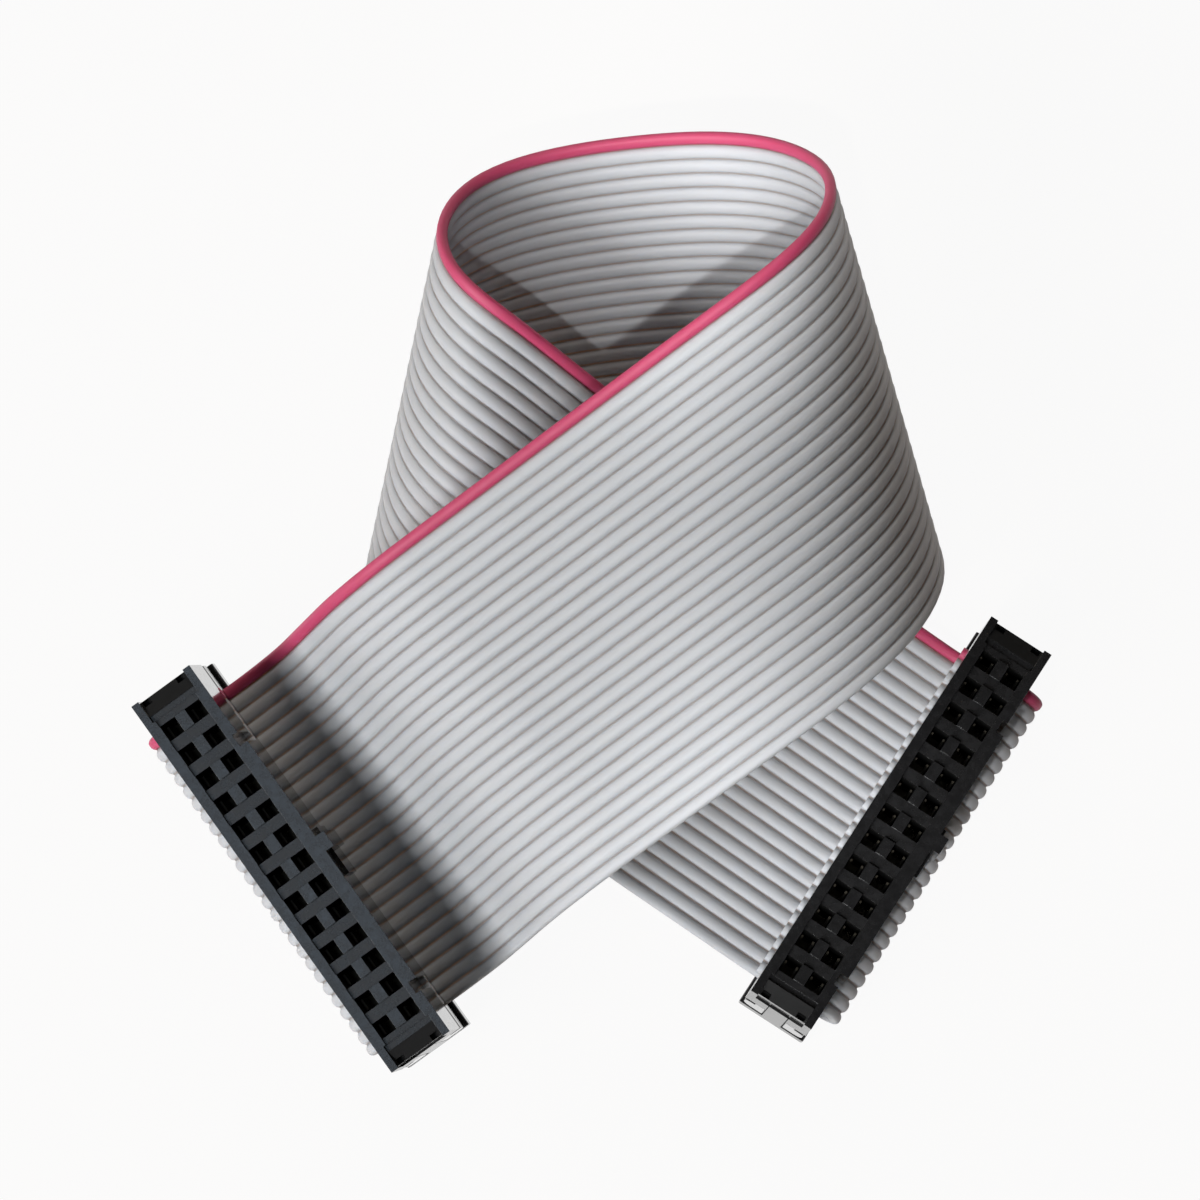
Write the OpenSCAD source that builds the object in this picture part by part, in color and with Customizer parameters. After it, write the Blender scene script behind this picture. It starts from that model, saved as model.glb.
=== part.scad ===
// Flat ribbon cable laid in one loop, with a two row socket connector pressed on each end.
// The cable is a strip of parallel conductors. It bends without stretching, so the loop is a
// piece of a cone: every straight line of its surface runs to one point, the tip.
// Left and right are the two ends as seen from the front. Z = 0 is the surface it lies on.

/* [Ribbon] */
// Conductors side by side, the first one is the red edge conductor
conductors = 26; // [20:2:26]
// Distance from one conductor to the next
wire_pitch = 1.27; // [1.26:0.01:1.28]
// Outer diameter of one insulated conductor
wire_dia = 0.92; // [0.84:0.02:0.96]
// Thickness of the webs that join the conductors
web_thickness = 0.5; // [0.36:0.02:0.6]

/* [Loop] */
// Distance from the tip of the cone to the red conductor, square to the conductors
tip_to_red = 63; // [62.5:0.1:64]
// Turn of the whole loop about the vertical, seen from above
loop_heading = 9.3; // [0:0.1:20]
// Most turning of the surface between two cross sections of the ribbon
turn_per_section = 19; // [19:1:24]

/* [Tails] */
// Length from the middle of the loop to where the left tail starts to drop
left_reach = 68.8; // [66:0.1:70]
// Length from the middle of the loop to where the right tail changes its slope
right_reach = 74.3; // [72:0.1:76]
// Steepest slope of the left tail
left_slope_angle = 70; // [60:1:74]
// Slope of the right tail before its connector
right_slope_angle = 14; // [12:1:20]
// Lean of the left connector, which the stiff tail rolls outward on its lower edge
left_tilt = 11; // [6:1:14]
// Lean of the right connector
right_tilt = 0; // [0:1:4]
// Radius of the bend where a tail changes its slope
crest_radius = 15; // [12:0.5:16]
// Radius of the bend where a tail meets its connector
foot_radius = 8; // [6:0.5:9]

/* [Connector] */
// Width of the socket body over its long sides
body_width = 6; // [5.8:0.1:6.4]
// Height of the socket body from the ribbon to the mating face
body_height = 7.1; // [6.6:0.1:8]
// Length of the body beyond the last socket's centre at each end
body_end = 3.5; // [3.5:0.1:4]
// Thickness of the cover that presses the ribbon on to the contacts
cover_thickness = 3.3; // [3:0.1:3.8]
// Thickness of the strain relief strap under the folded ribbon
strap_thickness = 1.8; // [1.4:0.1:2.2]
// Width of one square socket opening
socket_width = 1.5; // [1.4:0.05:1.6]
// Height of the face rails over the bars between the sockets
rail_height = 0.35; // [0.2:0.05:0.5]
// Length of the key on the long side of the body
key_length = 4.7; // [4:0.1:5]
// How far the key stands out
key_depth = 0.6; // [0.5:0.1:1]
// How far the rib on the key stands out
key_rib_depth = 1.1; // [0.9:0.1:1.3]
// How far the fold of the ribbon stands out beyond the body
fold_overhang = 1.85; // [1.75:0.05:2]
// How far the ribbon's cut end stands out of the left connector
left_cut_overhang = 0.05; // [0:0.05:0.5]
// How far the ribbon's cut end stands out of the right connector
right_cut_overhang = 0.4; // [0:0.05:0.6]

/* [Contacts] */
// Thickness of the contact metal
contact_sheet = 0.2; // [0.15:0.05:0.25]
// Width of the contact springs
contact_width = 1; // [0.8:0.05:1.1]

/* [Fits] */
// Gap between the ribbon and the plastic that holds it
seat_gap = 0.02; // [0.01:0.01:0.04]
// Gap between plastic parts that slide into each other
slide_gap = 0.05; // [0.03:0.01:0.1]

/* [Hidden] */
$fn = 48;

ribbon_colour = "#c3c6cc";
red_colour = "#cd3c6e";
plastic_colour = "#2b2d31";
metal_colour = "#c9a765";

// Bending of the loop, chosen by hand: [angle round the tip, turning of the surface per radian].
// Angles below zero lie on the way to the right connector.
bend_rates = [
    [-34, 0], [-30, 19.2], [-26, 10.9], [-22, 5.9], [-17, 6.9], [-11, 3.4], [-5, 1.7], [0, 3.7],
    [5, 4.8], [11, 4.7], [17, 5.6], [22, 7.4], [26, 7.4], [30, 4.4], [34, 0]
];
angle_step = 1;
frame_count = 60;
flat_angle = 40;
fold_sections = 5;

// Least height that a tail loses on its straight slope. Where a tail would run lower than this,
// the loop stands off the surface on its two connectors.
least_drop = 1;

// Rounding of the ribbon's outer edges, shares of the wire diameter:
// [distance from the last wire's centre, half thickness]
edge_shares = [[0.35, 0.36], [0.5, 0.15]];

half_span = (conductors - 1) * wire_pitch / 2;
ribbon_half = half_span + wire_dia / 2;
tip_to_middle = tip_to_red + half_span;

// Heights of the connector's layers over the surface that it stands on
layer = wire_dia + 2 * seat_gap;
low_ribbon_z = strap_thickness + layer / 2;
cover_z = strap_thickness + layer;
high_ribbon_z = cover_z + cover_thickness + layer / 2;
body_z = cover_z + cover_thickness + layer;
face_z = body_z + body_height;
fold_radius = (high_ribbon_z - low_ribbon_z) / 2;
fold_start = body_width / 2 + fold_overhang - fold_radius - wire_dia / 2;

// Plan sizes of the connector
columns = conductors / 2;
socket_pitch = 2 * wire_pitch;
half_field = (columns - 1) * socket_pitch / 2;
half_length = half_field + body_end;
strap_margin = 0.2;
cover_margin = 0.1;
strap_half = body_width / 2 + strap_margin;
cover_half = body_width / 2 - cover_margin;
corner = 0.3;
cover_corner = 0.9;

// The strap's arms stand in grooves of the body's ends, each held by a latch
arm_thickness = 0.8;
arm_height = 4;
arm_x = half_length - arm_thickness;
arm_half = 0.95;
arm_top = body_z + arm_height;
latch_depth = 0.2;
latch_height = 0.7;
latch_margin = 0.8;
latch_z = arm_top - latch_height - latch_margin;

// The cover's legs stand in blind slots beside the ribbon
leg_gap = 0.35;
leg_thickness = 0.7;
leg_half = 1.6;
leg_height = 3.6;
leg_x = ribbon_half + leg_gap;
leg_top = body_z + leg_height;

// Between the corner posts each end of the face has a step down and a ramp with two hollows.
// The end wall over the arm stands a little behind the posts.
post_width = 0.7;
post_depth = 0.17;
recess_half = body_width / 2 - post_width;
step_margin = 0.1;
step_depth = 0.5;
step_x = leg_x - step_margin;
ramp_length = 1.6;
ramp_drop = 0.12;
ramp_fall = 0.4;
hollow_y = 1.73;
hollow_half = 0.4;
hollow_length = 0.5;
hollow_margin = 0.2;
hollow_depth = 1.2;

// Rails of the mating face, the notches in the rail beside the key, and the key
rail_width = 0.95;
notch_width = 1.1;
notch_x = -11.3;
far_notch_x = 14;
rail_step = 0.3;
key_middle = 0.65;
key_lowering = 2.2;
key_top = face_z - key_lowering;
key_rib_middle = -0.2;
key_rib_width = 1.5;

// Pockets and contacts
floor_thickness = 1.1;
pocket_floor = body_z + floor_thickness;
spring_drop = 2.4;
fork_width = 1.14;
fork_slot = 0.32;

// How far a cutting box runs out past the surface that it opens
past = 1;

// Plain vector helpers
function unit(v) = v / norm(v);
function turned(v, axis, angle) =
    v * cos(angle) + cross(axis, v) * sin(angle) + axis * (axis * v) * (1 - cos(angle));
function bend_rate(angle) = lookup(angle, bend_rates);

// A frame is the direction from the tip and the direction of travel round it.
// Moving it by an angle turns both about one axis, which the bend rate tilts.
function moved(frame, rate, angle) =
    let (
        axis = unit(cross(frame[0], frame[1]) + rate * frame[0]),
        turn = angle * sqrt(1 + rate * rate)
    )
    [turned(frame[0], axis, turn), turned(frame[1], axis, turn)];
function frames_to(side) =
    [for (
        i = 0, f = [[0, -1, 0], [1, 0, 0]];
        i <= frame_count;
        f = moved(f, bend_rate(side * (i + 0.5) * angle_step), side * angle_step), i = i + 1
    ) f];
left_frames = frames_to(1);
right_frames = frames_to(-1);
function cone_frame(angle) =
    let (
        side = angle < 0 ? -1 : 1,
        i = floor(abs(angle) / angle_step),
        base = side > 0 ? left_frames[i] : right_frames[i]
    )
    moved(base, bend_rate(side * (i + 0.5) * angle_step), angle - side * i * angle_step);

// Both tails are flat, and the level direction across each of them sets what is upright
function across(angle) =
    let (f = cone_frame(angle)) cos(angle) * f[0] - sin(angle) * f[1];
function along(angle) =
    let (f = cone_frame(angle)) sin(angle) * f[0] + cos(angle) * f[1];
upright = unit(cross(across(-flat_angle), across(flat_angle)));
to_tip = unit([0, 1, 0] - upright * upright[1]);
to_side = cross(to_tip, upright);
axis_x = cos(loop_heading) * to_side - sin(loop_heading) * to_tip;
axis_y = sin(loop_heading) * to_side + cos(loop_heading) * to_tip;
function level(v) = [v * axis_x, v * axis_y, v * upright];

// A place on the middle surface of the loop, from its length along and its distance across,
// with the direction that faces into the loop
function cone_place(length, offset) =
    let (
        reach = tip_to_middle + offset,
        f = cone_frame(atan2(length, reach))
    )
    [level(norm([length, reach]) * f[0]), level(cross(f[0], f[1]))];

// Half of the ribbon's section, [distance across, half thickness], red edge to grey edge
grey_section = [
    for (i = [1:conductors - 1], edge = [0, 1])
        [(i - 0.5 + edge / 2) * wire_pitch - half_span, (edge == 0 ? web_thickness : wire_dia) / 2],
    for (share = edge_shares) [half_span + wire_dia * share[0], wire_dia * share[1]]
];
red_section = [
    for (i = [len(edge_shares) - 1:-1:0])
        [-half_span - wire_dia * edge_shares[i][0], wire_dia * edge_shares[i][1]],
    [-half_span, wire_dia / 2],
    [0.5 * wire_pitch - half_span, web_thickness / 2]
];

// One side of a section's outline, at [base, across, facing] of a flat place of the ribbon
function flat_ring(section, place) =
    concat(
        [for (p = section) place[0] + place[1] * p[0] + place[2] * p[1]],
        [for (i = [len(section) - 1:-1:0])
            place[0] + place[1] * section[i][0] - place[2] * section[i][1]]
    );
// The same where the section lies along a straight line of the cone
function cone_ring(section, angle) =
    let (places = [for (p = section)
        cone_place(
            max(-right_reach, min(left_reach, tan(angle) * (tip_to_middle + p[0]))), p[0])])
    concat(
        [for (i = [0:len(section) - 1]) places[i][0] + places[i][1] * section[i][1]],
        [for (i = [len(section) - 1:-1:0]) places[i][0] - places[i][1] * section[i][1]]
    );

// Angles of the sections round the loop, closer together where it bends more
loop_angles = concat(
    [for (i = [0:len(bend_rates) - 2])
        let (
            a = bend_rates[i],
            b = bend_rates[i + 1],
            n = max(1, ceil((b[0] - a[0]) * (a[1] + b[1]) / 2 / turn_per_section))
        )
        for (j = [0:n - 1]) a[0] + (b[0] - a[0]) * j / n],
    [bend_rates[len(bend_rates) - 1][0]]
);

// A tail, [side, reach, slope, tilt, cut overhang]: side is 1 on the left and -1 on the right
left_tail = [1, left_reach, left_slope_angle, left_tilt, left_cut_overhang];
right_tail = [-1, right_reach, right_slope_angle, right_tilt, right_cut_overhang];
function tail_start(tail) = cone_place(tail[0] * tail[1], 0)[0];
function tail_travel(tail) = tail[0] * level(along(tail[0] * flat_angle));
function tail_heading(tail) = let (t = tail_travel(tail)) unit([t[0], t[1], 0]);
function tail_across(tail) = level(across(tail[0] * flat_angle));
function arc_length(radius, angle) = radius * abs(angle) * PI / 180;
function sections(angle) = max(1, ceil(abs(angle) / turn_per_section));

// A leaning connector stands on the rounded edge of its strap, which it is turned about.
// This is where the ribbon leaves the connector, [distance outward, height], from that edge.
edge_y = strap_half - corner;
function exit_place(tilt) =
    let (y = body_width / 2 + edge_y, z = low_ribbon_z - corner)
    [y * cos(tilt) - z * sin(tilt), corner + y * sin(tilt) + z * cos(tilt)];

// Height over the surface at which a tail that has no straight slope starts
function least_start(tail) =
    let (start = asin(-tail_travel(tail)[2]))
    exit_place(tail[3])[1] + crest_radius * abs(cos(start) - cos(tail[2]))
        + foot_radius * (cos(tail[3]) - cos(tail[2]));

// Level of the surface under the loop, which its lowest point or its tails decide
loop_low = min(
    min([for (angle = loop_angles) min([for (p = cone_ring(grey_section, angle)) p[2]])]),
    min([for (tail = [left_tail, right_tail])
        tail_start(tail)[2] - least_start(tail) - least_drop])
);
function tail_base(tail) = tail_start(tail) - [0, 0, loop_low];

// Legs of a tail after its flat start, [length, turn upward, sections]. They are the change of
// slope, the drop, the foot, the run under the cover, the fold and the run back to the cut end.
function tail_legs(tail) =
    let (
        change = asin(-tail_travel(tail)[2]) - tail[2],
        foot = tail[2] - tail[3],
        drop = tail_base(tail)[2] - least_start(tail)
    )
    [
        [arc_length(crest_radius, change), change, sections(change)],
        [drop / sin(tail[2]), 0, 1],
        [arc_length(foot_radius, foot), foot, sections(foot)],
        [body_width / 2 + fold_start, 0, 1],
        [arc_length(fold_radius, 180), 180, fold_sections],
        [fold_start + body_width / 2 + tail[4], 0, 1]
    ];

// Places along the legs, [run, rise, slope], from the end of the flat start
function leg_place(from, leg, part) =
    let (length = leg[0] * part, turn = leg[1] * part)
    leg[1] == 0
        ? [from[0] + length * cos(from[2]), from[1] + length * sin(from[2]), from[2]]
        : let (radius = leg[0] / (leg[1] * PI / 180))
            [
                from[0] + radius * (sin(from[2] + turn) - sin(from[2])),
                from[1] - radius * (cos(from[2] + turn) - cos(from[2])),
                from[2] + turn
            ];
function leg_places(legs, from, i = 0) =
    i == len(legs) ? [] :
    concat(
        [for (j = [1:legs[i][2]]) leg_place(from, legs[i], j / legs[i][2])],
        leg_places(legs, leg_place(from, legs[i], 1), i + 1)
    );
function tail_places(tail) =
    let (start = [0, 0, asin(tail_travel(tail)[2])])
    concat([start], leg_places(tail_legs(tail), start));
function tail_rings(section, tail) =
    let (base = tail_base(tail), heading = tail_heading(tail), w = tail_across(tail))
    [for (p = tail_places(tail))
        flat_ring(section, [
            base + heading * p[0] + [0, 0, p[1]],
            w,
            heading * sin(p[2]) - [0, 0, cos(p[2])]
        ])];

// Middle of a connector before it leans
function connector_place(tail) =
    let (
        legs = tail_legs(tail),
        start = [0, 0, asin(tail_travel(tail)[2])],
        foot = leg_place(leg_place(leg_place(start, legs[0], 1), legs[1], 1), legs[2], 1)
    )
    tail_base(tail) + tail_heading(tail) * (foot[0] + exit_place(tail[3])[0] - edge_y);
function connector_angle(tail) = let (w = tail_across(tail)) atan2(w[1], w[0]);
// The frame's origin is under the middle of the right connector
origin = connector_place(right_tail);

function shifted(rings) =
    [for (ring = rings) [for (p = ring) [p[0] - origin[0], p[1] - origin[1], p[2]]]];
function lowered(rings) = [for (ring = rings) [for (p = ring) [p[0], p[1], p[2] - loop_low]]];
function reversed(list) = [for (i = [len(list) - 1:-1:0]) list[i]];
function ribbon_rings(section) =
    shifted(concat(
        reversed(tail_rings(section, right_tail)),
        lowered([for (angle = loop_angles) cone_ring(section, angle)]),
        tail_rings(section, left_tail)
    ));

// Closed skin round a row of rings, capped with strips across the section
module skin(rings) {
    n = len(rings[0]);
    last = len(rings) - 1;
    points = [for (ring = rings) for (p = ring) p];
    // The closing side of a ring is split along its other diagonal, as its neighbour's is
    sides = [for (i = [0:last - 1], j = [0:n - 1])
        let (a = i * n + j, b = i * n + (j + 1) % n, c = b + n, d = a + n)
        for (t = j == n - 1 ? [[a, d, b], [b, d, c]] : [[a, d, c], [a, c, b]]) t];
    strips = [for (j = [0:n / 2 - 2])
        let (a = j, b = j + 1, c = n - 2 - j, d = n - 1 - j)
        for (t = [[a, b, c], [a, c, d]]) t];
    far_strips = [for (t = strips) [t[2] + last * n, t[1] + last * n, t[0] + last * n]];
    polyhedron(points, concat(sides, strips, far_strips));
}

module ribbon_grey() {
    color(ribbon_colour) skin(ribbon_rings(grey_section));
}

module ribbon_red() {
    color(red_colour) skin(ribbon_rings(red_section));
}

// Stands a connector piece in its place. In its own frame X runs along the connector from the
// red end, and +Y is the side with the key.
module at_connector(tail) {
    translate([
        connector_place(tail)[0] - origin[0], connector_place(tail)[1] - origin[1], 0
    ])
        rotate([0, 0, connector_angle(tail)])
            translate([0, -tail[0] * edge_y, corner])
                rotate([tail[0] * tail[3], 0, 0])
                    translate([0, tail[0] * edge_y, -corner])
                        children();
}

module box(low, high) {
    translate(low) cube(high - low);
}

// Bar along X with rounded edges
module rounded_bar(length, width, low, high, radius) {
    rotate([90, 0, 90])
        linear_extrude(length, center = true)
            union() {
                for (y = [-1, 1], z = [low + radius, high - radius])
                    translate([y * (width / 2 - radius), z]) circle(radius);
                translate([-width / 2, low + radius]) square([width, high - low - 2 * radius]);
                translate([-width / 2 + radius, low]) square([width - 2 * radius, high - low]);
            }
}

module both_ends() {
    children();
    mirror([1, 0, 0]) children();
}

// Moves a child to each socket of one row: side is 1 for the row beside the key
module socket_row(side) {
    for (i = [0:columns - 1])
        translate([i * socket_pitch - half_field, side * wire_pitch, 0]) children();
}

// Opening for one contact, and the narrow slot for its fork. Two conductors run under a socket,
// the first is gripped in the row beside the key and the second in the other row.
module contact_pocket(side) {
    half = socket_width / 2;
    fork_x = -side * wire_pitch / 2;
    box([-half, -half, pocket_floor], [half, half, face_z + past]);
    box(
        [fork_x - fork_width / 2 - slide_gap, -contact_sheet / 2 - slide_gap, body_z - past],
        [
            fork_x + fork_width / 2 + slide_gap, contact_sheet / 2 + slide_gap,
            pocket_floor + contact_sheet + 2 * slide_gap
        ]
    );
}

module contact(side) {
    fork_x = -side * wire_pitch / 2;
    floor_z = pocket_floor + slide_gap;
    spring_y = socket_width / 2 - contact_sheet;
    difference() {
        union() {
            for (y = [-1, 1])
                translate([0, y * spring_y, 0])
                    box(
                        [-contact_width / 2, -contact_sheet / 2, floor_z],
                        [contact_width / 2, contact_sheet / 2, face_z - spring_drop]
                    );
            box(
                [-contact_width / 2, -spring_y, floor_z],
                [contact_width / 2, spring_y, floor_z + contact_sheet]
            );
            box(
                [fork_x - fork_width / 2, -contact_sheet / 2, body_z],
                [fork_x + fork_width / 2, contact_sheet / 2, floor_z + contact_sheet]
            );
        }
        box(
            [fork_x - fork_slot / 2, -contact_sheet, body_z - past],
            [fork_x + fork_slot / 2, contact_sheet, floor_z - contact_sheet]
        );
    }
}

module socket_body() {
    side_y = body_width / 2;
    ramp_x = half_length - ramp_length;
    difference() {
        union() {
            box([-half_length, -side_y, body_z], [half_length, side_y, face_z]);
            // Between its notches the rail beside the key is thicker
            box([notch_x, 0, body_z], [far_notch_x, side_y + rail_step, face_z]);
            box(
                [key_middle - key_length / 2, 0, body_z],
                [key_middle + key_length / 2, side_y + key_depth, key_top]
            );
            box(
                [key_rib_middle - key_rib_width / 2, 0, body_z],
                [key_rib_middle + key_rib_width / 2, side_y + key_rib_depth, face_z]
            );
        }
        for (x = [notch_x, far_notch_x])
            box(
                [x - notch_width / 2, side_y - rail_width / 2, body_z - past],
                [x + notch_width / 2, side_y + past, face_z + past]
            );
        // Bars between the sockets lie lower than the rails beside them
        for (i = [0:columns])
            translate([(i - 0.5) * socket_pitch - half_field, 0, face_z - rail_height])
                box(
                    [-(socket_pitch - socket_width) / 2, -side_y + rail_width, 0],
                    [(socket_pitch - socket_width) / 2, side_y - rail_width, past]
                );
        for (side = [-1, 1]) socket_row(side) contact_pocket(side);
        both_ends() {
            box([step_x, -recess_half, face_z - step_depth], [ramp_x, recess_half, face_z + past]);
            rotate([90, 0, 0])
                linear_extrude(2 * recess_half, center = true)
                    polygon([
                        [ramp_x - step_margin, face_z - ramp_drop],
                        [ramp_x, face_z - ramp_drop],
                        [half_length, face_z - ramp_drop - ramp_fall],
                        [half_length + past, face_z - ramp_drop - ramp_fall],
                        [half_length + past, face_z + past],
                        [ramp_x - step_margin, face_z + past]
                    ]);
            box(
                [half_length - post_depth, -recess_half, arm_top],
                [half_length + past, recess_half, face_z + past]
            );
            for (y = [-hollow_y, hollow_y])
                box(
                    [
                        half_length - hollow_margin - hollow_length, y - hollow_half,
                        face_z - hollow_depth
                    ],
                    [half_length - hollow_margin, y + hollow_half, face_z]
                );
            box(
                [leg_x - slide_gap, -leg_half - slide_gap, body_z - past],
                [leg_x + leg_thickness + slide_gap, leg_half + slide_gap, leg_top + slide_gap]
            );
            box(
                [arm_x - slide_gap, -arm_half - slide_gap, body_z - past],
                [half_length + past, arm_half + slide_gap, arm_top + slide_gap]
            );
            box(
                [arm_x - latch_depth - slide_gap, -arm_half - slide_gap, latch_z - slide_gap],
                [arm_x, arm_half + slide_gap, latch_z + latch_height + slide_gap]
            );
        }
    }
}

module cover() {
    middle_z = cover_z + cover_thickness / 2;
    shoulder = cover_half - cover_corner;
    difference() {
        union() {
            rounded_bar(
                2 * half_length, 2 * cover_half, cover_z, cover_z + cover_thickness, cover_corner);
            both_ends() {
                // Legs past the ribbon's edges reach up into the body
                box([leg_x, -leg_half, middle_z], [leg_x + leg_thickness, leg_half, leg_top]);
                // Shoulders beside the ribbon's edges meet the body
                box(
                    [ribbon_half + slide_gap, -shoulder, middle_z],
                    [half_length, shoulder, body_z - seat_gap]
                );
            }
        }
        both_ends()
            box(
                [arm_x - slide_gap, -arm_half - slide_gap, 0],
                [half_length + past, arm_half + slide_gap, face_z]
            );
    }
}

module strain_relief() {
    rounded_bar(2 * half_length, 2 * strap_half, 0, strap_thickness, corner);
    both_ends() {
        box([arm_x, -arm_half, strap_thickness / 2], [half_length, arm_half, arm_top]);
        box(
            [arm_x - latch_depth, -arm_half, latch_z],
            [half_length, arm_half, latch_z + latch_height]
        );
    }
}

module left_body() {
    color(plastic_colour) at_connector(left_tail) socket_body();
}

module left_cover() {
    color(plastic_colour) at_connector(left_tail) cover();
}

module left_strain_relief() {
    color(plastic_colour) at_connector(left_tail) strain_relief();
}

module left_contacts_key_side() {
    color(metal_colour) at_connector(left_tail) socket_row(1) contact(1);
}

module left_contacts_plain_side() {
    color(metal_colour) at_connector(left_tail) socket_row(-1) contact(-1);
}

module right_body() {
    color(plastic_colour) at_connector(right_tail) socket_body();
}

module right_cover() {
    color(plastic_colour) at_connector(right_tail) cover();
}

module right_strain_relief() {
    color(plastic_colour) at_connector(right_tail) strain_relief();
}

module right_contacts_key_side() {
    color(metal_colour) at_connector(right_tail) socket_row(1) contact(1);
}

module right_contacts_plain_side() {
    color(metal_colour) at_connector(right_tail) socket_row(-1) contact(-1);
}

ribbon_grey();
ribbon_red();
left_body();
left_cover();
left_strain_relief();
left_contacts_key_side();
left_contacts_plain_side();
right_body();
right_cover();
right_strain_relief();
right_contacts_key_side();
right_contacts_plain_side();
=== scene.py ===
"""A flat ribbon cable in one loop, with a two-row socket connector on each end.

The ribbon is made as the strip of insulated conductors that it is, laid along the same
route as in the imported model. The connectors' mouldings get their softened edges and finish.
"""
import logging
import math
from dataclasses import dataclass, field
from enum import Enum

import bpy
from mathutils import Matrix, Vector


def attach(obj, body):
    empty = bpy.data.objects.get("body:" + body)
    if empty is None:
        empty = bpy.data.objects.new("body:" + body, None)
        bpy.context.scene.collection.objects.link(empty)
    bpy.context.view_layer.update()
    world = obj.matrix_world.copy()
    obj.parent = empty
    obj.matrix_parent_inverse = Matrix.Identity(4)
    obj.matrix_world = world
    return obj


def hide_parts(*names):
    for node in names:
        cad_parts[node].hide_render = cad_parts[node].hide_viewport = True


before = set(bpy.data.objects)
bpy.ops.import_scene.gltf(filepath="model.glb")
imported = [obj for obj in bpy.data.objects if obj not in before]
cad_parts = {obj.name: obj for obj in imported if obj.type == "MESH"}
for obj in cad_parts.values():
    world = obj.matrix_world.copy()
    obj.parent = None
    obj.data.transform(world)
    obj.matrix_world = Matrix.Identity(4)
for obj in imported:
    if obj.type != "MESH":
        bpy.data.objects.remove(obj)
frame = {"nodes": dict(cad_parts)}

MM = 0.001
MERGE_DISTANCE = 2e-6
LOG = logging.getLogger("ribbon_cable")
Colour = tuple[float, float, float]


class Side(Enum):
    """The two ends of the cable, as seen from the front."""
    LEFT = "left"
    RIGHT = "right"


# Shader maths

class Value:
    """A number that a shader works out, written with the usual operators."""

    def __init__(self, bench: "Bench", socket: bpy.types.NodeSocket) -> None:
        """Wraps an output socket of the bench's node tree."""
        self.bench = bench
        self.socket = socket

    def _maths(self, operation: str, first: object, second: object) -> "Value":
        """Adds a Math node.

        Args:
            operation: The Math node's operation.
            first: A Value or a number.
            second: A Value or a number.

        Returns:
            The node's result.
        """
        inputs = {0: first, 1: second}
        return self.bench.node("ShaderNodeMath", {"operation": operation}, inputs).out(0)

    def __add__(self, other: object) -> "Value":
        """self + other."""
        return self._maths("ADD", self, other)

    def __radd__(self, other: object) -> "Value":
        """other + self."""
        return self._maths("ADD", other, self)

    def __sub__(self, other: object) -> "Value":
        """self - other."""
        return self._maths("SUBTRACT", self, other)

    def __rsub__(self, other: object) -> "Value":
        """other - self."""
        return self._maths("SUBTRACT", other, self)

    def __mul__(self, other: object) -> "Value":
        """self * other."""
        return self._maths("MULTIPLY", self, other)

    def __rmul__(self, other: object) -> "Value":
        """other * self."""
        return self._maths("MULTIPLY", other, self)

    def clamped(self) -> "Value":
        """self, kept between 0 and 1."""
        return self._maths("MAXIMUM", self._maths("MINIMUM", self, 1.0), 0.0)


class Added:
    """A node that was added to a bench."""

    def __init__(self, bench: "Bench", made: bpy.types.Node) -> None:
        """Keeps the node with its bench."""
        self.bench = bench
        self.made = made

    def out(self, key: int | str) -> Value:
        """The output socket of that number or name."""
        return Value(self.bench, self.made.outputs[key])


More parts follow.
